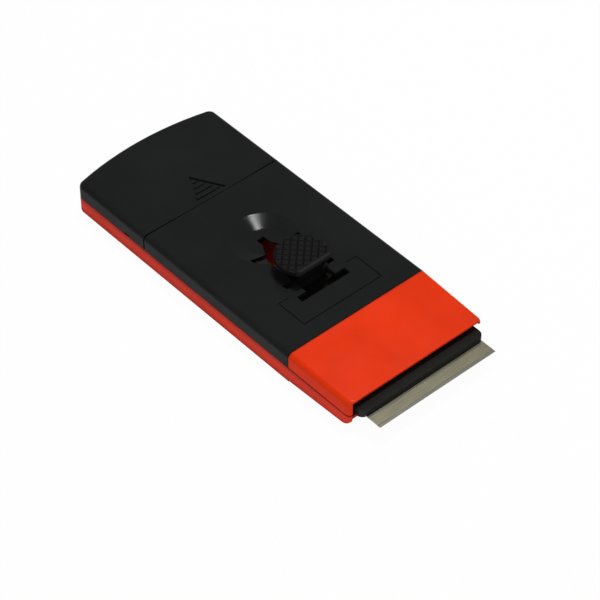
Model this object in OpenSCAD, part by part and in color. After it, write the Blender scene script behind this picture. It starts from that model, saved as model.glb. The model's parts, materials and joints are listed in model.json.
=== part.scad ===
// Razor blade scraper: a flat handle with a retracting single-edge blade and a store of spare blades.
// X runs towards the blade, Y across the handle, Z up from the underside. Lengths are in millimetres.

/* [Body] */
// Length of the body, from the rear end to the front edge of the nose
body_l = 109.2; // [106:0.2:118]
// Height of the body
body_h = 9.9; // [9.7:0.1:12]
// Thickness of the side walls of the covers
wall = 1.8; // [1.6:0.1:2.4]
// Thickness of the floor and of the covers' roofs
skin = 1.3; // [1.1:0.1:1.5]
// Rounding of the long upper edges
edge_r = 1.6; // [0.8:0.1:1.8]
// Rounding of the long lower edges
base_r = 0.8; // [0.4:0.1:1.2]
// Radius of the bowed rear end, seen from above
end_r = 90; // [60:1:120]
// Rounding of the two rear corners, seen from above
corner_r = 2.3; // [2:0.1:5]
// Height of the parting line between the lower shell and the black covers
part_h = 5.3; // [5.1:0.1:5.6]
// Width of the seams between the mouldings
seam = 0.2; // [0.1:0.05:0.4]
// Thickness of the locating lip inside the seams
lip_t = 0.6; // [0.5:0.1:0.8]

/* [Nose] */
// Length of the nose
nose_l = 22; // [20:0.5:26]
// Fall of the nose's roof from the seam to the front edge
nose_drop = 1; // [0:0.1:1.2]
// Rise of the nose's underside from the seam to the front edge
nose_rise = 0.3; // [0:0.1:1]
// Narrowing of the nose at each side
nose_taper = 0.5; // [0:0.1:0.7]
// Rounding of the nose's front corners, seen from above
nose_corner_r = 1.5; // [0.5:0.1:2]
// Rounding of the nose's long upper edges
nose_edge_r = 1.6; // [0.8:0.1:2]
// Rounding of the nose's long lower edges
nose_base_r = 1.1; // [0.4:0.1:1.4]
// Rounding of the nose's front lower edge, seen from the side
nose_front_r = 3.2; // [2:0.1:3.4]
// Fall of the nose's own parting line from the seam to the front edge
nose_part_drop = 0.9; // [0.5:0.1:1]
// Width of the nose's own parting line
nose_seam = 0.35; // [0.2:0.05:0.4]
// Depth by which the mouth flares out at its front edge
mouth_flare = 0.8; // [0.4:0.1:0.9]
// Length over which the mouth flares out
mouth_flare_l = 1.5; // [1:0.1:1.6]
// Distance from the front edge back to the end of the nose's floor
floor_back = 1.8; // [1:0.1:2.5]
// Length by which the right wall stops short of the mouth, so that a blade can be drawn out sideways
relief_l = 4; // [2:0.5:6]

/* [Rear cover] */
// Length of the rear cover
rear_l = 31; // [29:0.5:34]
// Gape of the seam in front of the rear cover, at each side
seam_gape = 0.3; // [0:0.05:0.4]
// Length of the arrow mark
arrow_l = 9.2; // [6:0.1:10]
// Width of the arrow mark at its base
arrow_w = 10.5; // [7:0.1:12]
// Distance of the arrow mark from the middle, towards the left of the blade
arrow_side = 0.5; // [0:0.1:1]
// Width of the rim round the ribs of the arrow mark
arrow_rim = 0.7; // [0.4:0.1:1.2]
// Depth of the arrow mark
arrow_d = 0.55; // [0.3:0.05:0.7]
// Width of each rib across the arrow mark
arrow_rib = 0.8; // [0.4:0.05:0.9]
// Number of ribs across the arrow mark
arrow_ribs = 4; // [3:1:5]
// Length of the pry notch in the lower edge of the rear cover
pry_l = 1.8; // [1:0.1:3]
// Height of the pry notch
pry_h = 0.6; // [0.4:0.1:1]

/* [Blade] */
// Length of the blade's cutting edge
blade_l = 39; // [38:0.1:39]
// Depth of the blade, from its edge to its back
blade_d = 19; // [18.5:0.1:19.5]
// Thickness of the blade
blade_t = 0.23; // [0.2:0.01:0.3]
// Width of the ground bevel
bevel_w = 0.9; // [0.5:0.1:1.5]
// How far the blade's edge stands out of the nose
blade_out = 7.8; // [6.8:0.1:8.6]
// Width of the folded back
back_w = 4.6; // [4:0.1:5]
// Thickness of the folded back
back_t = 0.9; // [0.8:0.01:0.92]
// Width of the notch in each end of the blade
end_notch_w = 2.4; // [2:0.1:3]
// Depth of the notch in each end of the blade
end_notch_d = 1.6; // [1.4:0.1:1.8]
// Distance from the folded back to the end notches
end_notch_gap = 1.2; // [0.8:0.1:1.6]

/* [Slider] */
// Height of the blade's underside above the base
blade_h = 5; // [4.9:0.05:5.1]
// How far the blade bar reaches past each end of the blade
bar_end = 0.9; // [0.7:0.1:1.4]
// Rounding of the blade bar's front corners, seen from above
bar_corner_r = 2; // [1:0.1:2.4]
// How far the blade bar stands out of the nose
bar_out = 3; // [2:0.1:3.6]
// Height of the blade bar's top above the base
bar_top = 6.8; // [6.6:0.05:6.9]
// Distance by which the lower jaw's front edge lies behind the upper one's
jaw_back = 0.8; // [0.2:0.1:1.2]
// Thickness of the lower jaw
jaw_t = 0.9; // [0.8:0.05:1]
// Travel of the blade between its two locked places
travel = 12.5; // [12:0.1:13]
// Width of the slider's tail
tail_w = 21; // [20:0.5:22]
// Thickness of the slider's tail
tail_t = 1.2; // [1.1:0.05:1.3]
// Running gap at each side of the slider
run_gap = 0.2; // [0.1:0.05:0.3]

/* [Slot and dish] */
// Width of the slot
slot_w = 10; // [9.6:0.1:10.4]
// Width of the slot's narrow rear end
slot_tip_w = 2.4; // [2:0.1:4]
// Length of the slot's narrow rear end
slot_tip_l = 2.5; // [2:0.1:3]
// Length over which the slot widens
slot_flare_l = 6.3; // [4:0.1:7]
// Length of the whole slot
slot_l = 25.7; // [25.2:0.1:27]
// Distance from the nose's edge back to the slot's front end
slot_front = 33.5; // [33.2:0.1:34]
// Span of the cross notches, tip to tip
notch_span = 16.2; // [15:0.1:17]
// Width of the notches that hold the blade out or in
notch_w = 1.8; // [1.7:0.1:2]
// Width of the front notch, which holds the blade far out to be changed
front_notch_w = 2.2; // [2:0.1:2.4]
// Travel from the working place to the place where the blade is changed
change_travel = 5.7; // [5.4:0.1:6]
// Distance from the middle of the dish to the rear end of the slot
dish_back = 1.8; // [0:0.1:4]
// Length of the engraved frame in front of the slot
frame_l = 10; // [8:0.5:11]
// Width of the engraved frame
frame_w = 26.6; // [24:0.2:30]
// Radius of the finger dish
dish_r = 9.6; // [8.5:0.1:10]
// Radius of the dish's flat floor
dish_floor_r = 5; // [3:0.1:6]
// Depth of the dish
dish_d = 1.4; // [1:0.1:1.6]
// Thickness of the cover under the dish
dish_skin = 0.75; // [0.6:0.05:0.8]

/* [Thumb button] */
// Radius of the round pad
pad_r = 7.2; // [6.5:0.1:7.5]
// Distance from the middle of the pad to its straight front edge
pad_front = 5.4; // [5:0.1:6]
// How far the pad's front edge stands out over its stem
pad_over = 1.9; // [1.2:0.1:2.2]
// Height of the pad's front lip above the cover
pad_h = 5.2; // [4.6:0.1:5.6]
// Height of the hatched face behind the lip above the cover
pad_front_h = 4.7; // [4.2:0.1:5]
// Height of the hatched face at the rear above the cover
pad_rear_h = 4.9; // [4.2:0.1:5]
// Thickness of the pad at its rim
pad_rim_t = 1.1; // [0.8:0.1:1.6]
// Thickness of the front lip
pad_lip_t = 0.9; // [0.6:0.1:1.2]
// Distance between the lines of the hatching
hatch_pitch = 1.8; // [1.4:0.05:2.2]
// Depth of the hatching
hatch_d = 0.3; // [0.2:0.05:0.5]
// How far the button is pressed to free the lock
press = 1.2; // [1:0.05:1.3]

/* [Hidden] */
$fn = 72;
spares = 5;

// Overrun of every cut, and the clearance between pieces that are fitted and do not move
over = 1;
fit = 0.1;
touch = 0.02;
red = [0.86, 0.16, 0.06];
black = [0.1, 0.1, 0.11];
steel = [0.62, 0.61, 0.58];

// Places along X
total_l = body_l + blade_out;
nose_x = total_l / 2 - blade_out;
rear_x = -total_l / 2;
seam_f = nose_x - nose_l;
seam_r = rear_x + rear_l;
// Sizes across the handle, from the blade outwards
bar_half = blade_l / 2 + bar_end;
inner_half = bar_half + run_gap;
lip_half = inner_half + lip_t;
cover_half = lip_half + fit;
half_w = cover_half + wall;
body_w = 2 * half_w;
// Heights
roof_z = body_h - skin;
lower_z = part_h - seam / 2;
cover_z = part_h + seam / 2;

// Blade and jaws
blade_x = nose_x + blade_out;
blade_rear = blade_x - blade_d;
blade_top = blade_h + blade_t;
back_low = blade_h + blade_t / 2 - back_t / 2;
back_high = back_low + back_t;
head_rear = blade_rear - skin;
jaw_low = blade_h - touch - jaw_t;
tail_low = jaw_low;
tail_top = tail_low + tail_t;
tail_half = tail_w / 2;

// Latch: a plate under the slot, a cross bar and a sloping leaf down to its foot on the tail
latch_foot_l = 2.6;
latch_foot_h = 0.6;
latch_leaf_w = 2;
latch_plate_t = 0.7;
latch_bar_cut = 1.5;
latch_bite = 0.35;
latch_plate_low = roof_z - press - latch_plate_t - touch;
latch_low = tail_top + touch;
bar_high = roof_z + latch_bite;

// Slot: the latch's cross bar is in the notches at bar_x while the blade is out for work, one travel
// behind them while it is in, and at change_x while the blade is changed
slot_x1 = nose_x - slot_front;
slot_x0 = slot_x1 - slot_l;
slot_flare_x = slot_x0 + slot_tip_l + slot_flare_l;
change_x = slot_x1 - front_notch_w / 2;
bar_x = change_x - change_travel;
bar_w = notch_w - 2 * run_gap;
dish_x = slot_x0 + dish_back;

// Stem and pad of the button
stem_x1 = slot_x1 - change_travel - run_gap;
stem_x0 = slot_x0 + run_gap + travel;
tail_x0 = stem_x0 - 2 * latch_foot_l;
pad_x1 = stem_x1 + pad_over;
pad_x = pad_x1 - pad_front;
pad_foot_r = pad_r - pad_over;
pad_low = body_h + press + fit;
pad_top = body_h + pad_h;
stem_low = latch_plate_low + latch_plate_t + touch;

// Rails and ledges that carry the rear cover, and the store between them
store_gap = 0.2;
rail_gap = 0.15;
stop_half = 9.8;
rail_t = 0.7;
rail_half = blade_l / 2 + store_gap;
rail_head_t = 0.8;
ledge_t = 0.8;
ledge_top = cover_z + ledge_t;
rail_head_z = ledge_top + rail_gap;
rail_top = rail_head_z + rail_head_t;
spare_pitch = back_t + touch;
spare_x1 = seam_r - 2 * wall - store_gap;
spare_x0 = spare_x1 - blade_d;
stack_top = skin + touch + spares * spare_pitch;

// Engraved frame
frame_gap = 5;
line_w = 0.4;
line_d = 0.25;

// Rounding along the upper front edge of the blade bar
lead_r = 0.5;

// Hooks of the middle cover, and pegs of the nose cover
hook_l = 5;
hook_t = 0.9;
hook_bite = 0.5;
hook_low = 2 * skin;
hook_high = hook_low + wall;
hook_shares = [0.16, 0.42, 0.68];
peg_r = 0.5;
peg_l = 2;
peg_shares = [0.2, 0.78];
rib_t = 1;
nose_rib_share = 0.75;
nose_rib_y = nose_rib_share * bar_half;
carry_rib_share = 0.5;
lip_stand = 0.9;
pry_share = 0.2;
gape_share = 0.3;
arrow_rib_drop = 0.18;
pad_lip_lean = 0.25;

// Runs a flat shape drawn across and up along X, from x0 to x1
module along_x(x0, x1) {
    translate([x0, 0, 0]) rotate([90, 0, 90]) linear_extrude(x1 - x0) children();
}

// Runs a flat shape drawn along X and up across Y, from y0 to y1
module along_y(y0, y1) {
    translate([0, y1, 0]) rotate([90, 0, 0]) linear_extrude(y1 - y0) children();
}

// A block between two corners
module block(low, high) {
    translate(low) cube(high - low);
}

// The same child on the left and on the right
module both_sides() {
    children();
    mirror([0, 1, 0]) children();
}

// Half of a cross-section, with its outer corners rounded below and above
module half_section(half, z0, z1, r_low, r_high) {
    mid = (z0 + z1) / 2;
    translate([0, z0]) square([half - r_low, mid - z0]);
    translate([0, mid]) square([half - r_high, z1 - mid]);
    translate([0, z0 + r_low]) square([half, z1 - z0 - r_low - r_high]);
    if (r_low > 0) translate([half - r_low, z0 + r_low]) circle(r_low);
    if (r_high > 0) translate([half - r_high, z1 - r_high]) circle(r_high);
}

module full_section(half, z0, z1, r_low, r_high) {
    half_section(half, z0, z1, r_low, r_high);
    mirror([1, 0]) half_section(half, z0, z1, r_low, r_high);
}

// The rear of the handle: straight sides, a bowed end and two round corners, with rounded edges.
// It is stretched over a slice at the front and over round posts that stand along the bowed end.
module rear_form(x_front, z0, z1, r_low, r_high) {
    posts = 12;
    post_arc_r = end_r - corner_r;
    swing = asin((half_w - corner_r) / post_arc_r);
    hull() {
        along_x(x_front - wall, x_front) full_section(half_w, z0, z1, r_low, r_high, $fn = 32);
        for (i = [0:posts]) {
            a = swing * (2 * i / posts - 1);
            translate([rear_x + end_r - post_arc_r * cos(a), post_arc_r * sin(a), 0])
                rotate_extrude($fn = 32) intersection() {
                    half_section(corner_r, z0, z1, r_low, r_high);
                    translate([0, z0]) square([corner_r, z1 - z0]);
                }
        }
    }
}

// The hollow of the rear, one wall inside the form
module rear_hollow(x_front, z0, z1) {
    translate([0, 0, z0]) linear_extrude(z1 - z0) intersection() {
        translate([rear_x + end_r, 0]) circle(end_r - wall, $fn = 360);
        translate([rear_x, -cover_half]) square([x_front - rear_x, 2 * cover_half]);
    }
}

// Heights along the nose: of its parting line, of its roof's outside and of its underside
function nose_part(x) = part_h - nose_part_drop * (x - seam_f) / nose_l;
function nose_top(x) = body_h - nose_drop * (x - seam_f) / nose_l;
function nose_low(x) = nose_rise * (x - seam_f) / nose_l;

// The nose: it narrows, falls and rises to the front, with round corners. Its lower half lies below the
// parting line and its upper half above it.
module nose_form(upper) {
    step = touch;
    intersection() {
        hull() {
            nose_slice(seam_f - wall, half_w - step, step, body_h - step);
            nose_slice(seam_f, half_w - step, step, body_h - step);
            for (a = [0:10:90]) {
                back = nose_front_r * (1 - sin(a));
                x = nose_x - touch - back;
                in = max(nose_corner_r - back, 0);
                nose_slice(x, half_w - nose_taper - nose_corner_r + sqrt(nose_corner_r ^ 2 - in ^ 2),
                           nose_low(x) + nose_front_r * (1 - cos(a)), nose_top(x));
            }
        }
        nose_side(upper);
    }
}

module nose_slice(x, half, z0, z1) {
    r_low = min(nose_base_r, (z1 - z0) / 2 - touch);
    along_x(x, x + touch) full_section(half, z0, z1, r_low, nose_edge_r, $fn = 48);
}

// Everything above, or below, the parting line of the nose, with half the seam left free
module nose_side(upper) {
    x0 = seam_f - 2 * wall;
    x1 = nose_x + over;
    s = upper ? nose_seam / 2 : -nose_seam / 2;
    far = upper ? body_h + over : -over;
    along_y(-body_w, body_w)
        polygon([[x0, nose_part(x0) + s], [x1, nose_part(x1) + s], [x1, far], [x0, far]]);
}

// The channel inside the nose: it flares out at the mouth, and its floor ends behind the mouth
module nose_channel() {
    flare_x = nose_x - mouth_flare_l;
    floor_x = nose_x - floor_back;
    wide = inner_half + mouth_flare;
    mouth_top = nose_top(nose_x) - skin + mouth_flare;
    intersection() {
        along_y(-body_w, body_w)
            polygon([[seam_f - over, skin], [seam_f, skin], [floor_x, skin + nose_low(floor_x)],
                     [floor_x, -over], [nose_x + over, -over], [nose_x + over, mouth_top],
                     [nose_x, mouth_top], [flare_x, nose_top(flare_x) - skin],
                     [seam_f, roof_z], [seam_f - over, roof_z]]);
        translate([0, 0, -2 * over]) linear_extrude(body_h + 3 * over)
            polygon([[seam_f - 2 * over, -inner_half], [flare_x, -inner_half], [nose_x, -wide],
                     [nose_x + 2 * over, -wide], [nose_x + 2 * over, wide], [nose_x, wide],
                     [flare_x, inner_half], [seam_f - 2 * over, inner_half]]);
    }
}

// Plan of the slot's rear end, grown or shrunk by a gap and pushed forward by a shift
module slot_tip(gap, shift, x_front) {
    tip = slot_tip_w / 2 - gap;
    full = slot_w / 2 - gap;
    x0 = slot_x0 + gap + shift;
    x1 = slot_x0 + slot_tip_l + shift;
    x2 = slot_flare_x + shift;
    x3 = max(x2, x_front) + over;
    intersection() {
        polygon([[x0, -tip], [x1, -tip], [x2, -full], [x3, -full],
                 [x3, full], [x2, full], [x1, tip], [x0, tip]]);
        translate([x0, -body_w / 2]) square([x_front - x0, body_w]);
    }
}

// Outline of a single-edge blade, with a notch in each end
module blade_outline(x_rear) {
    difference() {
        translate([x_rear, -blade_l / 2]) square([blade_d, blade_l]);
        for (s = [-1, 1])
            translate([x_rear + back_w + end_notch_gap, s * blade_l / 2 - end_notch_d])
                square([end_notch_w, 2 * end_notch_d]);
    }
}

// A blade lying flat, its underside at z, with both faces ground to the edge
module blade_at(x_rear, z) {
    bevel_x = x_rear + blade_d - bevel_w;
    color(steel) intersection() {
        translate([0, 0, z]) linear_extrude(blade_t) blade_outline(x_rear);
        along_y(-blade_l, blade_l)
            polygon([[x_rear - over, z - over], [bevel_x, z - touch], [bevel_x + bevel_w, z + blade_t / 2],
                     [bevel_x, z + blade_t + touch], [x_rear - over, z + blade_t + over]]);
    }
}

// The folded back of a blade: a strip bent round the blade's rear edge
module back_at(x_rear, z) {
    mid = z + blade_t / 2;
    fold_r = back_t / 2;
    color(steel) along_y(-blade_l / 2, blade_l / 2) difference() {
        union() {
            translate([x_rear, mid]) circle(fold_r);
            translate([x_rear, mid - fold_r]) square([back_w, back_t]);
        }
        translate([x_rear - touch, z - touch / 2]) square([back_w + over, blade_t + touch]);
    }
}

module spare_blade(i) {
    blade_at(spare_x0, spare_z(i));
}

module spare_back(i) {
    back_at(spare_x0, spare_z(i));
}

function spare_z(i) = skin + touch + (back_t - blade_t) / 2 + i * spare_pitch;

// Lower shell
module lower_shell() {
    color(red) {
        difference() {
            union() {
                rear_form(seam_f, 0, lower_z, base_r, 0);
                nose_form(false);
            }
            rear_hollow(seam_f + touch, skin, body_h);
            nose_channel();
            // Blade way out at the right of the mouth
            block([nose_x - relief_l, 0, skin + nose_rise], [nose_x + over, half_w + over, body_h]);
            block([nose_x - floor_back, 0, -over], [nose_x + over, half_w + over, body_h]);
            nose_pegs(fit, fit);
            // Windows for the hooks of the middle cover
            hook_windows();
        }
        shell_lips();
        nose_lips(0);
        slider_ribs();
        store_walls();
    }
}

// Lips that stand behind the seam of the middle cover, broken where its hooks go down
module shell_lips() {
    lip_low = skin;
    lip_high = cover_z + lip_stand;
    both_sides() difference() {
        union() {
            block([seam_r + seam, inner_half, lip_low], [seam_f, lip_half, lip_high]);
            block([seam_r + seam, lip_half - touch, lip_low], [seam_f, cover_half + touch, lower_z]);
        }
        for (s = hook_shares)
            block([hook_x(s) - fit, 0, lip_low + touch], [hook_x(s) + hook_l + fit, half_w, body_h]);
    }
}

// Lips of the nose, broken at the pegs; grown, they are the rebate that takes them
module nose_lips(grow) {
    x0 = seam_f - touch;
    for (s = [-1, 1]) {
        x1 = nose_x - (s > 0 ? relief_l + seam : wall - grow);
        y0 = s > 0 ? inner_half - touch : -lip_half - grow;
        y1 = s > 0 ? lip_half + grow : -inner_half + touch;
        difference() {
            along_y(y0, y1)
                polygon([[x0, nose_part(x0) - lip_stand], [x1, nose_part(x1) - lip_stand],
                         [x1, nose_part(x1) + lip_stand + grow], [x0, nose_part(x0) + lip_stand + grow]]);
            if (grow == 0) nose_pegs(lip_t, 2 * wall);
        }
    }
}

function hook_x(share) = seam_r + share * (seam_f - seam_r);

module hook_windows() {
    both_sides() for (s = hook_shares)
        block([hook_x(s) - fit, cover_half - fit, hook_low - fit],
              [hook_x(s) + hook_l + fit, cover_half + hook_bite + fit, hook_high]);
}

// Ribs on the floor: four carry the jaw and the tail, and two guide the sides of the tail
module slider_ribs() {
    carry_y = carry_rib_share * tail_half;
    rib_top = jaw_low - fit;
    tail_back = tail_x0 - travel - wall;
    both_sides() {
        block([tail_back, carry_y, skin - touch], [nose_x - 2 * wall, carry_y + rib_t, rib_top]);
        block([seam_f - wall, nose_rib_y, skin - touch], [nose_x - 2 * wall, nose_rib_y + rib_t, rib_top]);
        block([tail_back, tail_half + run_gap, skin - touch],
              [head_rear - travel - wall, tail_half + run_gap + rib_t, tail_top]);
    }
}

// Partition between the works and the store, the rails of the rear cover, and the store's end stop
module store_walls() {
    stop_h = stack_top - back_t;
    block([seam_r + seam, -inner_half - touch, skin - touch],
          [seam_r + seam + rib_t, inner_half + touch, roof_z - fit]);
    block([seam_r - 2 * wall, -rail_half - touch, skin - touch],
          [seam_r - 2 * wall + rib_t, rail_half + touch, stop_h]);
    block([spare_x0 - back_t / 2 - store_gap - rib_t, -stop_half, skin - touch],
          [spare_x0 - back_t / 2 - store_gap, stop_half, stop_h]);
    both_sides() {
        block([spare_x0, rail_half, skin - touch], [seam_r + seam + touch, rail_half + rail_t, rail_top]);
        block([spare_x0, rail_half, rail_head_z], [seam_r - seam, lip_half, rail_top]);
    }
}

// Pegs under the nose cover's walls; grown, they are the holes that take them
module nose_pegs(grow, deeper) {
    both_sides() for (s = peg_shares)
        translate([peg_x(s), (inner_half + half_w - nose_taper) / 2, nose_part(peg_x(s)) - peg_l - deeper])
            cylinder(r = peg_r + grow / 2, h = peg_l + deeper + wall);
}

function peg_x(share) = seam_f + share * (nose_l - relief_l);

// Nose cover
module nose_cover() {
    color(red) {
        difference() {
            nose_form(true);
            block([seam_f - 2 * wall, -body_w, 0], [seam_f + seam / 2, body_w, 2 * body_h]);
            nose_channel();
            block([nose_x - relief_l, 0, 0], [nose_x + over, half_w + over, roof_z - nose_drop]);
            nose_lips(fit);
        }
        nose_pegs(0, 0);
        // Ribs that hold the blade bar down
        both_sides() difference() {
            block([seam_f + wall, nose_rib_y, bar_top + fit], [nose_x - wall, nose_rib_y + rib_t, roof_z]);
            translate([0, 0, touch]) along_y(0, body_w)
                polygon([[seam_f, roof_z], [nose_x, roof_z - nose_drop],
                         [nose_x, body_h], [seam_f, body_h]]);
        }
    }
}

// Middle cover, with the dish, the notched slot and the bare frame
module top_cover() {
    x0 = seam_r + seam / 2;
    x1 = seam_f - seam / 2;
    dish_low = body_h - dish_d;
    color(black) {
        difference() {
            union() {
                difference() {
                    along_x(x0, x1) full_section(half_w, cover_z, body_h, 0, edge_r);
                    block([x0 - over, -cover_half, 0], [x1 + over, cover_half, roof_z]);
                }
                // Underside of the dish
                translate([dish_x, 0, 0]) rotate_extrude()
                    polygon([[0, dish_low - dish_skin], [dish_floor_r, dish_low - dish_skin],
                             [dish_r, roof_z], [dish_r, roof_z + touch], [0, roof_z + touch]]);
            }
            translate([dish_x, 0, 0]) rotate_extrude()
                polygon([[0, dish_low], [dish_floor_r, dish_low], [dish_r, body_h],
                         [dish_r, body_h + over], [0, body_h + over]]);
            slot_cut();
            frame_groove();
        }
        // Ribs that hold the tail down
        rib_y = (notch_span / 2 + tail_half - rib_t) / 2;
        both_sides()
            block([tail_x0 - travel, rib_y, tail_top + fit],
                  [head_rear - travel - wall, rib_y + rib_t, roof_z + touch]);
        cover_hooks();
    }
}

module slot_cut() {
    translate([0, 0, roof_z - dish_d - skin]) linear_extrude(body_h) {
        slot_tip(0, 0, slot_x1);
        for (x = [bar_x, bar_x - travel])
            translate([x - notch_w / 2, -notch_span / 2]) square([notch_w, notch_span]);
        translate([change_x - front_notch_w / 2, -notch_span / 2]) square([front_notch_w, notch_span]);
    }
}

// A plain engraved frame in front of the slot
module frame_groove() {
    frame_x1 = seam_f - frame_gap;
    frame_x0 = frame_x1 - frame_l;
    frame_half = frame_w / 2;
    gap_half = notch_span / 2 + wall;
    translate([0, 0, body_h - line_d]) linear_extrude(body_h) difference() {
        translate([frame_x0, -frame_half]) square([frame_x1 - frame_x0, 2 * frame_half]);
        translate([frame_x0 + line_w, -frame_half + line_w])
            square([frame_x1 - frame_x0 - 2 * line_w, 2 * (frame_half - line_w)]);
        translate([frame_x0 - over, -gap_half]) square([line_w + 2 * over, 2 * gap_half]);
    }
}

// Hooks of the middle cover, which snap into the windows of the lower shell
module cover_hooks() {
    y1 = cover_half - fit;
    both_sides() for (s = hook_shares) {
        block([hook_x(s), y1 - hook_t, hook_low], [hook_x(s) + hook_l, y1, roof_z + touch]);
        along_x(hook_x(s), hook_x(s) + hook_l)
            polygon([[y1 - touch, hook_low], [y1, hook_low], [cover_half + hook_bite, hook_high - 2 * fit],
                     [y1 - touch, hook_high - 2 * fit]]);
    }
}

// Rear cover, which slides off to the rear
module rear_cover() {
    x1 = seam_r - seam / 2;
    pry_x = x1 - pry_share * rear_l;
    color(black) {
        difference() {
            rear_form(x1, cover_z, body_h, 0, edge_r);
            rear_hollow(x1 + over, 0, roof_z);
            arrow_mark(x1);
            // The seam gapes a little towards both sides
            both_sides() linear_extrude(2 * body_h)
                polygon([[x1, gape_share * half_w], [x1 - seam_gape, half_w],
                         [x1 - seam_gape, half_w + over], [x1 + over, half_w + over],
                         [x1 + over, gape_share * half_w]]);
            // Pry notches in the lower edge
            both_sides()
                block([pry_x - pry_l, half_w - wall / 2, cover_z - over],
                      [pry_x, half_w + over, cover_z + pry_h]);
        }
        both_sides()
            block([spare_x0, rail_half + rail_t + store_gap, cover_z + fit],
                  [x1 - fit, cover_half + wall / 4, ledge_top]);
        // Bar that keeps the spare blades down
        block([spare_x0 + blade_d / 2, -stop_half, stack_top + fit],
              [spare_x0 + blade_d / 2 + rib_t, stop_half, roof_z + touch]);
    }
}

// A sunk triangle that points to the rear, with ribs across it inside a deep rim
module arrow_mark(x1) {
    base_x = x1 - rib_t;
    pitch = arrow_l / (arrow_ribs + 1);
    translate([0, arrow_side, 0]) difference() {
        translate([0, 0, body_h - arrow_d]) linear_extrude(body_h) arrow_plan(base_x, 0);
        intersection() {
            linear_extrude(body_h - arrow_rib_drop) arrow_plan(base_x, arrow_rim);
            for (i = [1:arrow_ribs])
                block([base_x - i * pitch, -arrow_w, 0], [base_x - i * pitch + arrow_rib, arrow_w, body_h]);
        }
    }
}

// The triangle, shrunk by an even rim on all three sides
module arrow_plan(base_x, rim) {
    half = arrow_w / 2;
    slant = sqrt(half ^ 2 + arrow_l ^ 2);
    tip = rim * slant / half;
    left = (arrow_l - tip - rim) * half / arrow_l;
    polygon([[base_x - rim, -left], [base_x - rim, left], [base_x - arrow_l + tip, 0]]);
}

// Thumb button: a round pad with a straight front lip and hatching, on a stem through the slot
module thumb_button() {
    color(black) {
        difference() {
            intersection() {
                translate([pad_x, 0, 0]) rotate_extrude($fn = 96) pad_profile();
                along_y(-pad_r - over, pad_r + over) pad_side();
            }
            pad_hatching();
        }
        difference() {
            translate([0, 0, stem_low]) linear_extrude(pad_low - stem_low + touch)
                slot_tip(run_gap, travel, stem_x1);
            // Step over the latch's cross bar
            block([bar_x - bar_w / 2 - touch, -body_w, 0], [stem_x1 + over, body_w, bar_high + touch]);
        }
    }
}

// Half of the pad's cross-section: it spreads from the stem out to its thin rim
module pad_profile() {
    rim_top = body_h + min(pad_front_h, pad_rear_h);
    polygon([[0, pad_low], [pad_foot_r, pad_low], [pad_r, rim_top - pad_rim_t],
             [pad_r, pad_top], [0, pad_top]]);
}

// Side view of the pad: a straight lip at the front, and a nearly level face behind it
module pad_side() {
    lip_x = pad_x1 - pad_lip_t;
    rear = pad_x - pad_r - over;
    polygon([[rear, pad_low], [stem_x1, pad_low], [pad_x1, pad_top - pad_rim_t],
             [pad_x1 - pad_lip_lean, pad_top], [lip_x, pad_top],
             [lip_x - 2 * pad_lip_lean, body_h + pad_front_h], [rear, body_h + pad_rear_h]]);
}

// Crossed grooves along both diagonals, cut into the face behind the lip
module pad_hatching() {
    face_x0 = pad_x - pad_r;
    face_x1 = pad_x1 - 2 * pad_lip_t;
    slope = atan((pad_front_h - pad_rear_h) / (face_x1 - face_x0));
    reach = 2 * pad_r;
    lines = floor(pad_r / hatch_pitch);
    cut = hatch_d * sqrt(2);
    face_mid = [(face_x0 + face_x1) / 2, 0, body_h + (pad_front_h + pad_rear_h) / 2];
    intersection() {
        translate(face_mid) rotate([0, -slope, 0])
            for (turn = [-45, 45])
                for (i = [-lines:lines])
                    rotate([0, 0, turn]) translate([-reach, i * hatch_pitch, -hatch_d])
                        rotate([45, 0, 0]) cube([2 * reach, cut, cut]);
        block([face_x0 - over, -reach, pad_low], [face_x1, reach, pad_top + over]);
    }
}

// Slider: its head is the upper jaw of the blade bar, and its tail carries the latch
module blade_slider() {
    x1 = nose_x + bar_out;
    z0 = blade_top + touch;
    color(black) difference() {
        union() {
            // Head
            intersection() {
                translate([0, 0, z0]) linear_extrude(bar_top - z0) bar_outline(x1);
                along_y(-bar_half, bar_half) {
                    translate([head_rear, z0]) square([x1 - lead_r - head_rear, bar_top - z0]);
                    translate([head_rear, z0]) square([x1 - head_rear, bar_top - z0 - lead_r]);
                    translate([x1 - lead_r, bar_top - lead_r]) circle(lead_r);
                }
            }
            // Root where the head steps down to the tail
            block([head_rear - wall, -tail_half, tail_low], [head_rear + touch, tail_half, bar_top]);
            block([tail_x0, -tail_half, tail_low], [head_rear - touch, tail_half, tail_top]);
        }
        // Seat of the folded back
        block([blade_rear - back_t / 2 - fit, -blade_l / 2 - fit, 0],
              [blade_rear + back_w + fit, blade_l / 2 + fit, back_high + fit / 2]);
        jaw_pegs(fit);
    }
}

// Plan of the blade bar, with its front corners rounded
module bar_outline(x1) {
    translate([head_rear, -bar_half]) square([x1 - bar_corner_r - head_rear, 2 * bar_half]);
    translate([head_rear, -bar_half + bar_corner_r])
        square([x1 - head_rear, 2 * (bar_half - bar_corner_r)]);
    for (s = [-1, 1])
        translate([x1 - bar_corner_r, s * (bar_half - bar_corner_r)]) circle(bar_corner_r);
}

// Pegs of the lower jaw, which stand in the blade's end notches; grown, they are their sockets
module jaw_pegs(grow) {
    peg_stand = 0.65;
    notch_x = blade_rear + back_w + end_notch_gap;
    both_sides()
        block([notch_x + fit - grow, blade_l / 2 - end_notch_d + fit - grow, blade_h - jaw_t / 2],
              [notch_x + end_notch_w - fit + grow, blade_l / 2 + grow, blade_top + peg_stand + grow]);
}

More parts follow.
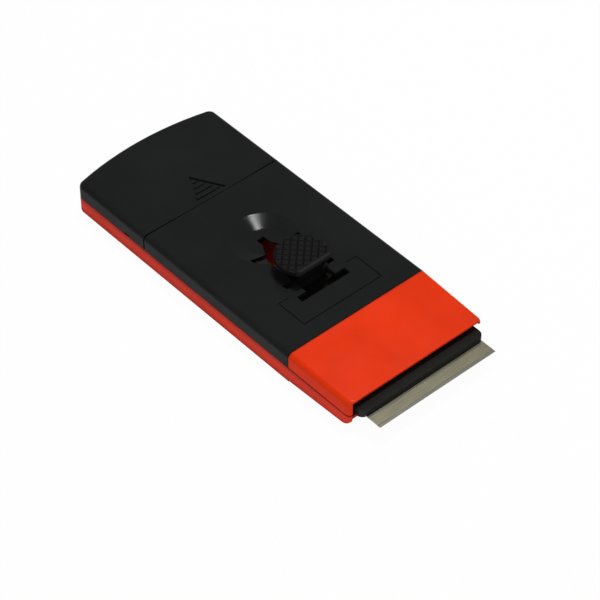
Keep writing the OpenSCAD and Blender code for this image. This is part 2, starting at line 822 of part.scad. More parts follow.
// Lower jaw of the blade bar
module blade_clamp() {
    x1 = nose_x + bar_out - jaw_back;
    x0 = head_rear + fit;
    color(black) {
        difference() {
            intersection() {
                translate([0, 0, jaw_low]) linear_extrude(jaw_t) bar_outline(x1);
                block([x0, -body_w, 0], [x1, body_w, body_h]);
            }
            block([blade_rear - back_t / 2 - fit, -blade_l / 2 - fit, back_low - fit / 2],
                  [blade_rear + back_w + fit, blade_l / 2 + fit, body_h]);
        }
        jaw_pegs(0);
    }
}

// Latch: cross bar, plate, sloping leaf and foot
module lock_latch() {
    half_bar = notch_span / 2 - latch_bar_cut;
    plate_high = latch_plate_low + latch_plate_t;
    foot_x = stem_x0 - 3 * latch_foot_l / 2;
    color(black) {
        translate([0, 0, latch_plate_low]) linear_extrude(latch_plate_t)
            slot_tip(run_gap, travel, stem_x1);
        block([bar_x - bar_w / 2, -half_bar, latch_plate_low],
              [bar_x + bar_w / 2, half_bar, bar_high]);
        along_y(-latch_leaf_w / 2, latch_leaf_w / 2)
            polygon([[stem_x0 + touch, plate_high],
                     [stem_x0 + touch + latch_plate_t, latch_plate_low + touch],
                     [foot_x + latch_foot_l, latch_low], [foot_x, latch_low],
                     [foot_x, latch_low + latch_foot_h],
                     [foot_x + latch_foot_l / 2, latch_low + latch_foot_h]]);
    }
}

lower_shell();
nose_cover();
top_cover();
rear_cover();
thumb_button();
blade_slider();
blade_clamp();
lock_latch();
blade_at(blade_rear, blade_h);  // blade
back_at(blade_rear, blade_h);  // blade_back
spare_blade(0);  // spare_blade_1
spare_blade(1);  // spare_blade_2
spare_blade(2);  // spare_blade_3
spare_blade(3);  // spare_blade_4
spare_blade(4);  // spare_blade_5
spare_back(0);  // spare_back_1
spare_back(1);  // spare_back_2
spare_back(2);  // spare_back_3
spare_back(3);  // spare_back_4
spare_back(4);  // spare_back_5
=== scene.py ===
# %% [markdown]
# # A razor blade scraper, dressed for its portrait
# The object is a flat pocket scraper: a red shell, a red nose with a wide flat mouth, two black covers,
# a hatched thumb button, and a razor blade that slides out of the mouth. Its shapes come from the packed
# model, so this lesson is about light, plastics and steel. The first step loads the model and keeps its
# size. Blender counts in metres, so a millimetre gets a name of its own.

# %% Load the model
import bpy
import json
import math
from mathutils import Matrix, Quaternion, Vector

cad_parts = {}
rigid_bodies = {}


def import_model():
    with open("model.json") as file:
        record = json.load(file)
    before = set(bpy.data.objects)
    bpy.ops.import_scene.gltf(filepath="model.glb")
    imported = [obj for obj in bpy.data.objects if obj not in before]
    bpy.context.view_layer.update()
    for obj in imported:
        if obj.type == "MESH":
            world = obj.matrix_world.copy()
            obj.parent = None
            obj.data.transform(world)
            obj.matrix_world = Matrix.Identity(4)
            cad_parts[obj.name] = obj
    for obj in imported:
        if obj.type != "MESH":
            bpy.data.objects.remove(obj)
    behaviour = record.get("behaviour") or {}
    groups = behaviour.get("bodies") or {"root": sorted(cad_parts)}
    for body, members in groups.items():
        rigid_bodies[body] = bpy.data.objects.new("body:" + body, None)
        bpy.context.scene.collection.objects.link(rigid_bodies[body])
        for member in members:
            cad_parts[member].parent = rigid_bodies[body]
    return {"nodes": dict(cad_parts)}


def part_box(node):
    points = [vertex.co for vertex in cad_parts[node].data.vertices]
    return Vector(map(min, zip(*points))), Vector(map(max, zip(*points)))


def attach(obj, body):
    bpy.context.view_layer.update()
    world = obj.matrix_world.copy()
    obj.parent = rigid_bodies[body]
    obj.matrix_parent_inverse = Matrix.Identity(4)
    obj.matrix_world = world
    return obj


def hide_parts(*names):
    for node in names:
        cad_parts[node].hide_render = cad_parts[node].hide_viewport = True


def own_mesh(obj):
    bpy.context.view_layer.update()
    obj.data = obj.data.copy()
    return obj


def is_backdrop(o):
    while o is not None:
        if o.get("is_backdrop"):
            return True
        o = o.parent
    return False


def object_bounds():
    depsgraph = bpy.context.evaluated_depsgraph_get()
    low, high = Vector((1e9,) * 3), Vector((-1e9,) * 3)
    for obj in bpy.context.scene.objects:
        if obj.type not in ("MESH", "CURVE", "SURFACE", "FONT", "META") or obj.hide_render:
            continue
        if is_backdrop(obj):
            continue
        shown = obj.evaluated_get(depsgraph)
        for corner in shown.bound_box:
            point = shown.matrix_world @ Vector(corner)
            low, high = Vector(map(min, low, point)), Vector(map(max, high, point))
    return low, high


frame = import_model()
cad_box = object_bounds()
MM = 0.001
print("nodes:", len(frame["nodes"]), "size in mm:", [round(v / MM, 1) for v in cad_box[1] - cad_box[0]])

# %% [markdown]
# ## The camera
# The photograph looks down on the front right corner with a long lens, so the long edges stay nearly
# parallel. The camera could be placed by eye, but an angle, a tilt and a distance from one point of the
# handle are easier to read and to change. They were measured from the photograph's own edges. The point
# in the middle of the picture is counted from the front edge of the nose.

# %% Camera
AZIMUTH = math.radians(48.46)
ELEVATION = math.radians(44.63)
ROLL = math.radians(0.127)
DISTANCE = 647.4 * MM
LENS = 153.0
NEAREST = 10 * MM
FARTHEST = 20
AIM_BACK = 38.065 * MM
AIM_RIGHT = 4.877 * MM
AIM_UP = 5.0 * MM

nose_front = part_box("nose_cover")[1].x
aim = Vector((nose_front - AIM_BACK, -AIM_RIGHT, AIM_UP))
away = Vector((math.sin(AZIMUTH) * math.cos(ELEVATION),
               -math.cos(AZIMUTH) * math.cos(ELEVATION),
               math.sin(ELEVATION)))
look = (-away).to_track_quat("-Z", "Y") @ Quaternion((0, 0, 1), ROLL)
bpy.ops.object.camera_add(location=aim + away * DISTANCE, rotation=look.to_euler())
camera = bpy.context.object
camera.name = "photo_camera"
camera.data.lens = LENS
camera.data.clip_start = NEAREST
camera.data.clip_end = FARTHEST
bpy.context.scene.camera = camera
bpy.context.scene.view_settings.view_transform = "Standard"
print("camera at", [round(v, 3) for v in camera.location])

# %% [markdown]
# ## Small helpers for materials
# A finish is built from a few nodes that come back in each material. They could be added one by one each
# time, but short helpers leave only what makes each finish its own. The Mix node keeps the sockets of all
# its kinds of data at once, so the ones for colour are named here by their number.

# %% Nodes and links
MIX_FACTOR, MIX_FIRST, MIX_SECOND, MIXED = 0, 6, 7, 2


def add_node(material, kind, **values):
    """Adds a shader node and sets its plain properties."""
    node = material.node_tree.nodes.new(kind)
    for key, value in values.items():
        setattr(node, key, value)
    return node


def plug(material, source, target):
    """Joins an output to an input, or gives the input a plain value."""
    if isinstance(source, bpy.types.NodeSocket):
        material.node_tree.links.new(source, target)
    else:
        target.default_value = source


def blend_colours(material, factor, first, second):
    """Goes from the first colour to the second."""
    mixer = add_node(material, "ShaderNodeMix", data_type="RGBA")
    plug(material, factor, mixer.inputs[MIX_FACTOR])
    plug(material, first, mixer.inputs[MIX_FIRST])
    plug(material, second, mixer.inputs[MIX_SECOND])
    return mixer.outputs[MIXED]


print("a blend goes through sockets", MIX_FACTOR, MIX_FIRST, MIX_SECOND, MIXED)

# %% [markdown]
# ## Helpers for numbers
# Masks and unevenness are numbers that change over the surface. Noise makes them, a range puts them where
# they are wanted, and arithmetic joins them. Patterns read Object coordinates, in metres, so a noise scale
# of 1000 makes clouds about a millimetre wide, and they need no unwrapping.

# %% Noise, ranges and arithmetic
CLOUD_LOW, CLOUD_HIGH = 0.3, 0.7


def clouds(material, coords, scale, detail=3):
    """Soft noise, nearly all of it between CLOUD_LOW and CLOUD_HIGH."""
    noise = add_node(material, "ShaderNodeTexNoise")
    noise.inputs["Scale"].default_value = scale
    noise.inputs["Detail"].default_value = detail
    plug(material, coords, noise.inputs["Vector"])
    return noise.outputs["Fac"]


def spread(material, value, low, high, from_low=CLOUD_LOW, from_high=CLOUD_HIGH):
    """Maps a value from one range to another, and keeps it inside."""
    fit = add_node(material, "ShaderNodeMapRange")
    plug(material, value, fit.inputs["Value"])
    plug(material, from_low, fit.inputs["From Min"])
    plug(material, from_high, fit.inputs["From Max"])
    plug(material, low, fit.inputs["To Min"])
    plug(material, high, fit.inputs["To Max"])
    return fit.outputs["Result"]


def arithmetic(material, kind, first, second):
    """One step of arithmetic."""
    step = add_node(material, "ShaderNodeMath", operation=kind)
    plug(material, first, step.inputs[0])
    plug(material, second, step.inputs[1])
    return step.outputs[0]


def times(material, first, second):
    """The product of two values, which joins two masks."""
    return arithmetic(material, "MULTIPLY", first, second)


print("clouds run from", CLOUD_LOW, "to", CLOUD_HIGH)

# %% [markdown]
# ## The floor
# The scraper lies on white. A floor lit to pure white would need so much light that the red plastic would
# wash out, so the floor shows most of its own white to the camera and to reflections. The rest of it is an
# ordinary pale surface, which keeps the soft shadow under the body. The floor lies a hair below the body,
# so that the two faces don't flicker through each other.

# %% Floor
FLOOR_SIZE = 12
FLOOR_DROP = 0.05 * MM
FLOOR_WHITE = 0.97
PAPER_GREY = 0.88

bpy.ops.mesh.primitive_plane_add(size=FLOOR_SIZE, location=(0, 0, -FLOOR_DROP))
floor = bpy.context.object
floor.name = "floor"
floor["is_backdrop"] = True

paper = bpy.data.materials.new("white_paper")
paper.use_nodes = True
paper.node_tree.nodes.clear()
matte = add_node(paper, "ShaderNodeBsdfDiffuse")
matte.inputs["Color"].default_value = (PAPER_GREY, PAPER_GREY, PAPER_GREY, 1)
white = add_node(paper, "ShaderNodeEmission")
rays = add_node(paper, "ShaderNodeLightPath")
seen = arithmetic(paper, "MAXIMUM", rays.outputs["Is Camera Ray"], rays.outputs["Is Glossy Ray"])
seen = arithmetic(paper, "MAXIMUM", seen, rays.outputs["Is Transmission Ray"])
mix = add_node(paper, "ShaderNodeMixShader")
plug(paper, times(paper, seen, FLOOR_WHITE), mix.inputs["Fac"])
plug(paper, matte.outputs[0], mix.inputs[1])
plug(paper, white.outputs[0], mix.inputs[2])
out = add_node(paper, "ShaderNodeOutputMaterial")
plug(paper, mix.outputs[0], out.inputs["Surface"])
floor.data.materials.append(paper)
print("floor made, white share", FLOOR_WHITE)

# %% [markdown]
# ## The light
# The black covers show a dark room with one soft box: the wall of the finger dish catches it, and the flat
# tops don't. One lamp straight overhead would be simpler, but it would show in the flat tops as well. So
# the room is dim, the soft box hangs almost overhead and a little behind, and a wide weak panel on the
# camera's side lifts the walls that face the lens.

# %% Light
ROOM_LIGHT = 0.25


def soft_box(name, direction, distance, width, depth, power):
    """Adds a soft box that looks at the handle from a direction."""
    place = Vector(direction).normalized() * distance
    turn = place.to_track_quat("Z", "Y").to_euler()
    bpy.ops.object.light_add(type="AREA", location=place, rotation=turn)
    lamp = bpy.context.object
    lamp.name = name
    lamp.data.shape = "RECTANGLE"
    lamp.data.size = width
    lamp.data.size_y = depth
    lamp.data.energy = power


soft_box("overhead_box", direction=(-0.075, 0.245, 0.966), distance=0.7, width=0.08, depth=0.15, power=3.2)
soft_box("side_panel", direction=(0.55, -0.75, 0.42), distance=1.1, width=0.9, depth=0.9, power=2.45)

world = bpy.data.worlds.new("dim_room")
bpy.context.scene.world = world
world.use_nodes = True
room = world.node_tree.nodes["Background"]
room.inputs["Color"].default_value = (1, 1, 1, 1)
room.inputs["Strength"].default_value = ROOM_LIGHT

# %% [markdown]
# ## Moulded plastic: the colour
# Moulded plastic isn't one flat colour. It flowed into its mould, which leaves slow clouds that are a
# little deeper or paler. A photograph of plastic could be wrapped round the parts, but noise has no seam
# and costs no picture.

# %% Flowed colour
FLOW_SCALE = 55
DEEP_TONE, PALE_TONE = 0.88, 1.10


def toned(colour, factor, lift=0.0):
    """A darker or paler tone of a colour."""
    return tuple(min(c * factor + lift, 1) for c in colour) + (1,)


def flowed_colour(material, coords, colour):
    """Slow clouds between a deep and a pale tone."""
    flow = spread(material, clouds(material, coords, FLOW_SCALE), 0, 1)
    return blend_colours(material, flow, toned(colour, DEEP_TONE), toned(colour, PALE_TONE))


print("flow clouds are about", round(1 / (FLOW_SCALE * MM)), "mm wide")

# %% [markdown]
# ## Painted shade in the grooves
# Little light falls low on the shell, under the black covers, and behind the nose, so shade is painted
# there.
# It could be painted by hand, but each of these places is a range along one axis. So a row of painted shade
# names its axis, where it is still unshaded, where it is darkest, and how strong it gets there.

# %% Painted shade bands
SMEAR_SCALE = 300
SMEAR_THINNEST = 0.7
# The deep tone that each band goes towards is painted shade.
SHADE_BAND_TONE, SHADE_BAND_LIFT = 0.30, 0.006
FINE_DETAIL = 4


def add_painted_shade(material, coords, place, body, colour, rows):
    """Paints shade into the body colour along an axis, for each row of (axis, unshaded_at, darkest_at,
    strength).
    """
    for axis, unshaded_at, darkest_at, strength in rows:
        near = spread(material, place.outputs[axis], 0, strength, unshaded_at, darkest_at)
        smear = spread(material, clouds(material, coords, SMEAR_SCALE, FINE_DETAIL), SMEAR_THINNEST, 1)
        body = blend_colours(material, times(material, near, smear), body,
                             toned(colour, SHADE_BAND_TONE, SHADE_BAND_LIFT))
    return body


print("a smear keeps", SMEAR_THINNEST, "of its strength at its thinnest")

# %% [markdown]
# ## Stains and painted shadow on the shell's floor
# Through the slot one looks down on the red floor of the shell. A dark track on it, just right of the
# middle, is a painted shadow, and dust lies behind the slot. A dark mark could be a thin extra surface,
# but a mask adds nothing to the shape. It is 1 inside a box and fades out at its sides.

# %% Stains and painted shadow
# This near-black serves the dust and the painted shadow alike.
STAIN_AND_SHADOW_COLOUR = (0.012, 0.012, 0.011, 1)
STAIN_AND_SHADOW_STRENGTH = 0.95
BOX_FADE = 0.3 * MM


def inside(material, place, low, high):
    """1 inside a box, and 0 a little way outside it."""
    mask = 1.0
    for axis, start, end in zip("XYZ", low, high):
        rise = spread(material, place.outputs[axis], 0, 1, start - BOX_FADE, start)
        fall = spread(material, place.outputs[axis], 1, 0, end, end + BOX_FADE)
        mask = times(material, mask, times(material, rise, fall))
    return mask


def add_stains_and_shadow(material, place, body, boxes):
    """Darkens the body colour in each box of (low corner, high corner), for dust and for painted shadow."""
    for low, high in boxes:
        stain_and_shadow = times(material, inside(material, place, low, high), STAIN_AND_SHADOW_STRENGTH)
        body = blend_colours(material, stain_and_shadow, body, STAIN_AND_SHADOW_COLOUR)
    return body


print("stains fade out over", round(BOX_FADE / MM, 1), "mm")

# %% [markdown]
# ## Painted shade in deep corners
# Little light gets deep into the real handle, and what does is soaked up by the black parts there. The
# lamps alone leave the red too bright, so a node measures how closed in a point is, and the most closed
# ones get painted shade: a very deep tone.

# %% Painted shade in deep corners
CORNER_SAMPLES = 8
CORNER_TONE = 0.04
CORNER_STRENGTH = 0.97
OPEN_ENOUGH = 0.55


def add_shade(material, body, colour, reach):
    """Paints shade into the body colour where other surfaces close it in."""
    corner = add_node(material, "ShaderNodeAmbientOcclusion", samples=CORNER_SAMPLES)
    corner.inputs["Distance"].default_value = reach
    hidden = spread(material, corner.outputs["AO"], CORNER_STRENGTH, 0, 0, OPEN_ENOUGH)
    return blend_colours(material, hidden, body, toned(colour, CORNER_TONE))


print("points count as open above", OPEN_ENOUGH)

# %% [markdown]
# ## Round edges
# No moulded edge is quite sharp. Tiny roundings could be modelled, but the Bevel node finds every sharp
# edge by itself and bends the light there. The straight front lip of the thumb pad is rounder than the
# rest and rubbed all over, so from its place along X on, the radius grows and the colour gets paler: the
# paler colour is rub and a painted highlight at once.

# %% Round edges
EDGE_SAMPLES = 6
LIP_FADE = 0.2 * MM


def round_edges(material, place, body, rubbed, edge, lip):
    """The rounding node, and the body colour with the lip of (place along X, radius, rub and painted
    highlight) in it.
    """
    rounded = add_node(material, "ShaderNodeBevel", samples=EDGE_SAMPLES)
    rounded.inputs["Radius"].default_value = edge
    if lip:
        lip_x, lip_radius, lip_rub_and_sheen = lip
        on_lip = spread(material, place.outputs["X"], 0, 1, lip_x, lip_x + LIP_FADE)
        plug(material, spread(material, on_lip, edge, lip_radius, 0, 1), rounded.inputs["Radius"])
        body = blend_colours(material, times(material, on_lip, lip_rub_and_sheen), body, rubbed)
    return rounded, body


print("the lip begins within", round(LIP_FADE / MM, 1), "mm")

# %% [markdown]
# ## Rubbed edges
# Edges rub paler in a pocket. Near an edge the rounded normal leaves the surface's own, so the product of
# the two, which is 1 on a flat, tells where an edge is. Patches of noise keep the rub from being even.

# %% Rubbed edges
EDGE_PRODUCT, FLAT_PRODUCT = 0.86, 0.995
PATCH_SCALE = 420
PATCH_LEAST = 0.15
PATCH_LOW, PATCH_HIGH = 0.35, 0.65


def rub_edges(material, coords, rounded, body, rubbed, rub):
    """The body colour with its edges rubbed in patches."""
    surface = add_node(material, "ShaderNodeNewGeometry")
    facing = add_node(material, "ShaderNodeVectorMath", operation="DOT_PRODUCT")
    plug(material, rounded.outputs["Normal"], facing.inputs[0])
    plug(material, surface.outputs["Normal"], facing.inputs[1])
    on_edge = spread(material, facing.outputs["Value"], 1, 0, EDGE_PRODUCT, FLAT_PRODUCT)
    patches = spread(material, clouds(material, coords, PATCH_SCALE, FINE_DETAIL),
                     PATCH_LEAST, 1, PATCH_LOW, PATCH_HIGH)
    worn = times(material, times(material, on_edge, patches), rub)
    return blend_colours(material, worn, body, rubbed)


print("rub patches are about", round(1 / (PATCH_SCALE * MM), 1), "mm wide")

# %% [markdown]
# ## Gloss and grain
# A pocket polishes the tops, while the flanks keep the matt of the mould, and fingers leave smudges. So
# the roughness is noise round the plastic's own gloss, and more of it where a face looks sideways. The
# mould was spark-eroded, which leaves a grain so fine that only the light shows it: a bump does for it.

# %% Gloss and grain
SMUDGE_SCALE = 160
SMUDGE_BELOW, SMUDGE_ABOVE = 0.03, 0.04
GRAIN_SCALE = 5200
GRAIN_DETAIL = 2
GRAIN_STRENGTH = 0.5


def uneven_gloss(material, coords, gloss, flank_matt, flank_from):
    """Roughness with smudges, and matt flanks where the normal's Z falls below flank_from."""
    slope = add_node(material, "ShaderNodeSeparateXYZ")
    plug(material, add_node(material, "ShaderNodeTexCoord").outputs["Normal"], slope.inputs[0])
    flank = spread(material, slope.outputs["Z"], flank_matt, 0, 0, flank_from)
    smudges = spread(material, clouds(material, coords, SMUDGE_SCALE, FINE_DETAIL),
                     gloss - SMUDGE_BELOW, gloss + SMUDGE_ABOVE)
    return arithmetic(material, "ADD", smudges, flank)


def grained(material, coords, rounded, depth):
    """The rounded normal with the mould's grain on it."""
    grain = add_node(material, "ShaderNodeBump")
    grain.inputs["Strength"].default_value = GRAIN_STRENGTH
    grain.inputs["Distance"].default_value = depth
    plug(material, clouds(material, coords, GRAIN_SCALE, GRAIN_DETAIL), grain.inputs["Height"])
    plug(material, rounded.outputs["Normal"], grain.inputs["Normal"])
    return grain.outputs["Normal"]


print("grain is about", round(1 / (GRAIN_SCALE * MM), 2), "mm wide")

# %% [markdown]
# ## The recipe for a plastic
# Each plastic of the scraper goes through the same steps, with its own colour and measures. A node group
# could hold them, but a plain function keeps what is the same all over on the shader's own sockets, where
# an export finds it.

# %% Recipe
def new_material(name):
    """An empty material with a surface shader, and Object coordinates."""
    material = bpy.data.materials.new(name)
    material.use_nodes = True
    shader = material.node_tree.nodes["Principled BSDF"]
    coords = add_node(material, "ShaderNodeTexCoord").outputs["Object"]
    return material, shader, coords


def moulded_plastic(name, colour, rubbed, gloss, shine, grain_depth, edge=0.14 * MM, rub=0.4,
                    flank_matt=0.3, flank_from=0.9, shade_bands=(), stains_and_painted_shadow=(), shade=0, lip=None):
    """Plastic with a flowed colour, painted shade bands, dust and painted shadow in boxes, painted shade in
    deep corners, round rubbed edges, gloss and grain.
    """
    material, shader, coords = new_material(name)
    place = add_node(material, "ShaderNodeSeparateXYZ")
    plug(material, coords, place.inputs[0])
    body = flowed_colour(material, coords, colour)
    body = add_painted_shade(material, coords, place, body, colour, shade_bands)
    body = add_stains_and_shadow(material, place, body, stains_and_painted_shadow)
    if shade:
        body = add_shade(material, body, colour, shade)
    rounded, body = round_edges(material, place, body, rubbed, edge, lip)
    body = rub_edges(material, coords, rounded, body, rubbed, rub)
    plug(material, body, shader.inputs["Base Color"])
    plug(material, uneven_gloss(material, coords, gloss, flank_matt, flank_from), shader.inputs["Roughness"])
    shader.inputs["Specular IOR Level"].default_value = shine
    plug(material, grained(material, coords, rounded, grain_depth), shader.inputs["Normal"])
    return material


print("recipe ready")

# %% [markdown]
# ## The red plastics
# The nose is worn clean but for a band of painted shade where it meets the middle cover. The shell is a
# little pinker. It gets painted shade near its foot and right under the seam to the black covers, a painted
# shadow and dust on its floor, and painted shade in its deep corners.

# %% Red plastics
SEAM_Z = 5.2 * MM

nose_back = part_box("nose_cover")[0].x
# The dark line behind the nose is painted shade in the seam to the middle cover.
nose_seam_shade = ("X", nose_back + 0.6 * MM, nose_back + 0.1 * MM, 0.6)
red_plastic = moulded_plastic(
    "red_plastic", colour=(0.78, 0.033, 0.001), rubbed=(0.84, 0.09, 0.03, 1),
    gloss=0.30, shine=0.12, grain_depth=0.006 * MM, shade_bands=(nose_seam_shade,))

# The shell gets painted shade near its foot and right under the seam to the black covers.
foot_shade = ("Z", 2.4 * MM, 0.6 * MM, 0.4)
under_cover_shade = ("Z", SEAM_Z - 1.7 * MM, SEAM_Z - 0.2 * MM, 0.85)
# This box is a painted shadow on the floor; the next one is dust.
painted_floor_shadow = ((-30 * MM, -3.2 * MM, 1.0 * MM), (15 * MM, 0.5 * MM, 1.6 * MM))
slot_dust = ((-17 * MM, -9 * MM, 1.0 * MM), (-13 * MM, 9 * MM, 1.6 * MM))
shell_plastic = moulded_plastic(
    "shell_plastic", colour=(0.80, 0.045, 0.020), rubbed=(0.82, 0.10, 0.06, 1),
    gloss=0.32, shine=0.12, grain_depth=0.006 * MM,
    shade_bands=(foot_shade, under_cover_shade), stains_and_painted_shadow=(painted_floor_shadow, slot_dust), shade=5 * MM)
print("red plastics:", red_plastic.name, shell_plastic.name)

# %% [markdown]
# ## The black plastics
# The covers are polished on top and have crisp edges. The thumb pad is duller and unrubbed but for its
# front lip, which starts a little behind the front of the button and is paler with rub and a painted
# highlight. The slider, the jaw and the latch are of a warmer black with rounder edges.

# %% Black plastics
CRISP_EDGE = 0.03 * MM
LIP_WIDTH = 1.2 * MM
LIP_RADIUS = 0.9 * MM
# The lip's paler colour is rub and a painted highlight at once.
LIP_RUB_AND_SHEEN = 0.8

black_plastic = moulded_plastic(
    "black_plastic", colour=(0.0132, 0.0136, 0.0136), rubbed=(0.022, 0.022, 0.022, 1),
    gloss=0.14, shine=0.06, grain_depth=0.005 * MM, edge=CRISP_EDGE, rub=0.25,
    flank_matt=0.32, flank_from=0.35)
lip_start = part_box("thumb_button")[1].x - LIP_WIDTH
pad_plastic = moulded_plastic(
    "pad_plastic", colour=(0.0090, 0.0092, 0.0092), rubbed=(0.022, 0.022, 0.022, 1),
    gloss=0.36, shine=0.07, grain_depth=0.005 * MM, edge=CRISP_EDGE, rub=0.0,
    flank_matt=0.1, lip=(lip_start, LIP_RADIUS, LIP_RUB_AND_SHEEN))
works_plastic = moulded_plastic(
    "works_plastic", colour=(0.0140, 0.0140, 0.0125), rubbed=(0.03, 0.03, 0.028, 1),
    gloss=0.20, shine=0.12, grain_depth=0.004 * MM, edge=0.1 * MM)
print("black plastics:", black_plastic.name, pad_plastic.name, works_plastic.name)

# %% [markdown]
# ## Rolled steel
# The blades and their folded backs are rolled strip, so their flats carry faint lines along their length
# and hold a film of oil. An anisotropic shader could draw the light out along the strip, but noise that is
# stretched along Y also shows the lines themselves.

# %% Rolled steel
OIL_SCALE = 130
LINE_STRETCH = (9000, 130, 400)
LINE_BELOW, LINE_ABOVE = 0.03, 0.04
SCRATCH_STRENGTH = 0.1
SCRATCH_DEPTH = 0.001 * MM


def rolled_steel(name, colour, oiled, gloss):
    """Rolled strip with fine lines along Y. Its colour and roughness are left to be plugged in."""
    material, shader, coords = new_material(name)
    film = spread(material, clouds(material, coords, OIL_SCALE), 0, 1)
    strip = blend_colours(material, film, colour, oiled)
    stretch = add_node(material, "ShaderNodeMapping")
    stretch.inputs["Scale"].default_value = LINE_STRETCH
    plug(material, coords, stretch.inputs["Vector"])
    lines = clouds(material, stretch.outputs["Vector"], 1)
    shader.inputs["Metallic"].default_value = 1
    lined = arithmetic(material, "ADD", spread(material, lines, -LINE_BELOW, LINE_ABOVE), gloss)
    scratch = add_node(material, "ShaderNodeBump")
    scratch.inputs["Strength"].default_value = SCRATCH_STRENGTH
    scratch.inputs["Distance"].default_value = SCRATCH_DEPTH
    plug(material, lines, scratch.inputs["Height"])
    plug(material, scratch.outputs["Normal"], shader.inputs["Normal"])
    return material, shader, coords, strip, lined


back_steel, back_shader, _, back_strip, back_lined = rolled_steel(
    "back_steel", colour=(0.45, 0.45, 0.44, 1), oiled=(0.36, 0.35, 0.32, 1), gloss=0.38)
plug(back_steel, back_strip, back_shader.inputs["Base Color"])
plug(back_steel, back_lined, back_shader.inputs["Roughness"])
print("lines are stretched", round(LINE_STRETCH[0] / LINE_STRETCH[1]), "times")

# %% [markdown]
# ## The ground edge
# The cutting edge of a blade is ground on a wheel, which leaves a narrow, rougher band that looks darker
# from above; that darker look is painted shade in the band's colour. The band starts at a place along X,
# which is easy because the blade only ever slides along X, and its pattern slides with it.

# %% Ground edge
GROUND_WIDTH = 0.9 * MM
GROUND_FADE = 0.02 * MM
# The ground band's dark colour is painted shade.
GROUND_SHADE_COLOUR = (0.10, 0.095, 0.075, 1)
GROUND_MATT = 0.25

blade_steel, blade_shader, blade_coords, blade_strip, blade_lined = rolled_steel(
    "blade_steel", colour=(0.50, 0.47, 0.34, 1), oiled=(0.44, 0.41, 0.29, 1), gloss=0.24)
ground_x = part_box("blade")[1].x - GROUND_WIDTH
where = add_node(blade_steel, "ShaderNodeSeparateXYZ")
plug(blade_steel, blade_coords, where.inputs[0])
on_ground = spread(blade_steel, where.outputs["X"], 0, 1, ground_x - GROUND_FADE, ground_x + GROUND_FADE)
plug(blade_steel, blend_colours(blade_steel, on_ground, blade_strip, GROUND_SHADE_COLOUR),
     blade_shader.inputs["Base Color"])
ground_matt = times(blade_steel, on_ground, GROUND_MATT)
plug(blade_steel, arithmetic(blade_steel, "ADD", blade_lined, ground_matt),
     blade_shader.inputs["Roughness"])
print("ground band starts at x =", round(ground_x / MM, 2), "mm")

# %% [markdown]
# ## Normals by area
# The model's triangles are true, but a rounding shows its facets if each is shaded flat, and a flat shows
# dark streaks if everything is shaded smooth. Blender's own weighting works on the whole ring of faces
# round a vertex, so the cone of the finger dish took the slant of the flat top. Here each corner averages
# only the faces that are nearly level with its own, by their area.

# %% Normals by area
def weigh_normals(mesh, smooth_angle):
    """At each corner, averages by area the faces round its vertex that are nearly level with its own."""
    around = [[] for vertex in mesh.vertices]
    for face in mesh.polygons:
        for vertex in face.vertices:
            around[vertex].append(face)
    level = math.cos(smooth_angle)
    normals = [None] * len(mesh.loops)
    for face in mesh.polygons:
        for loop in face.loop_indices:
            ring = around[mesh.loops[loop].vertex_index]
            near = [other for other in ring if other.normal.dot(face.normal) >= level]
            normals[loop] = sum((other.normal * other.area for other in near), Vector()).normalized()
    mesh.normals_split_custom_set(normals)


print("normals can be weighed")

# %% [markdown]
# ## Mouldings from the model's nodes
# The nodes are right in shape, but they are loose triangles. Each moulding is copied, its triangles are
# joined, those that lie level are dissolved into one face, and its normals are weighed: then the flats
# stay flat and only the roundings shade smoothly. The copy stands for its node and rides on its body.

# %% Copy, join and smooth
MERGE = 0.001 * MM
SMOOTH_ANGLE = math.radians(34)
FLAT_ANGLE = math.radians(0.5)


def smooth_copy(node, name, body, material, smooth_angle=SMOOTH_ANGLE):
    """A joined, smooth-shaded copy of a node, which stands for it."""
    bpy.ops.object.select_all(action="DESELECT")
    source = frame["nodes"][node]
    source.select_set(True)
    bpy.context.view_layer.objects.active = source
    bpy.ops.object.duplicate()
    piece = bpy.context.object
    bpy.ops.object.parent_clear(type="CLEAR_KEEP_TRANSFORM")
    for key in list(piece.keys()):
        del piece[key]
    piece.name = piece.data.name = name
    bpy.ops.object.mode_set(mode="EDIT")
    bpy.ops.mesh.select_all(action="SELECT")
    bpy.ops.mesh.remove_doubles(threshold=MERGE)
    bpy.ops.mesh.dissolve_limited(angle_limit=FLAT_ANGLE)
    bpy.ops.object.mode_set(mode="OBJECT")
    bpy.ops.object.shade_smooth()
    weigh_normals(piece.data, smooth_angle)
    piece.data.materials.clear()
    piece.data.materials.append(material)
    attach(piece, body)
    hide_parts(node)
    print(name, len(piece.data.polygons), "faces")
    return piece


# %% [markdown]
# ## Red mouldings
# The lower shell runs the whole length and carries the lower half of the nose. The nose cover is the thin
# red roof over the mouth. Both are fixed to the handle.

# %% Red mouldings
smooth_copy("lower_shell", "red_shell", "handle", shell_plastic)
smooth_copy("nose_cover", "red_nose", "handle", red_plastic)

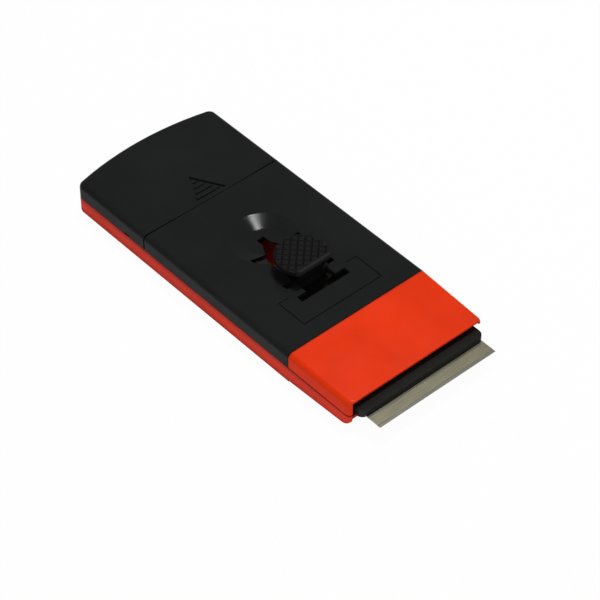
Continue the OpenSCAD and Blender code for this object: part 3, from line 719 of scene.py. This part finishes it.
# %% [markdown]
# ## Black covers and the thumb button
# The middle cover has the finger dish and the notched slot, the rear cover slides off over the spare
# blades, and the button's hatched pad frees the lock when it is pressed. The wall of the dish is a shallow
# cone, so the middle cover is smoothed over smaller angles: its rim stays a crisp line.

# %% Black covers and button
DISH_ANGLE = math.radians(14)
smooth_copy("top_cover", "middle_cover", "handle", black_plastic, DISH_ANGLE)
smooth_copy("rear_cover", "store_cover", "rear_lid", black_plastic)
smooth_copy("thumb_button", "hatched_button", "button", pad_plastic)

# %% [markdown]
# ## The works
# The slider and the lower jaw grip the blade's folded back. Their front ends show in the mouth, and the
# slider's tail shows through the slot. Both ride on the carrier.

# %% Slider and jaw
smooth_copy("blade_slider", "slider", "carrier", works_plastic)
smooth_copy("blade_clamp", "lower_jaw", "carrier", works_plastic)

# %% [markdown]
# ## The sprung latch
# The latch is a leaf spring under the thumb button: pressing the button bends it down until its cross bar
# leaves the notches. A rigid copy would let the stem cut into it, and this copy is rigid, with a mesh of its
# own.

# %% Sprung latch
sprung_latch = smooth_copy("lock_latch", "sprung_latch", "carrier", works_plastic)
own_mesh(sprung_latch)

# %% [markdown]
# ## Nodes that stay as they are
# The blades and their folded backs are flat-faced, so the model's own meshes are right. They only need
# their finish in their material slots.

# %% Finish the carried-over nodes
SPARES = 5


def finish_node(node, material):
    """Gives a node's own mesh a finish."""
    mesh = frame["nodes"][node].data
    mesh.materials.clear()
    mesh.materials.append(material)


blades = ["blade"] + [f"spare_blade_{i + 1}" for i in range(SPARES)]
backs = ["blade_back"] + [f"spare_back_{i + 1}" for i in range(SPARES)]
for node in blades:
    finish_node(node, blade_steel)
for node in backs:
    finish_node(node, back_steel)
print("finished nodes:", len(blades) + len(backs))

# %% [markdown]
# ## Size
# The dressed object has to keep the model's size, so the largest difference between the model's box and
# the dressed box is printed.

# %% Size
dressed_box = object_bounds()
furthest = max(abs(a - b) for cad, dressed in zip(cad_box, dressed_box) for a, b in zip(cad, dressed))
print("size kept within", round(furthest / MM, 3), "mm")
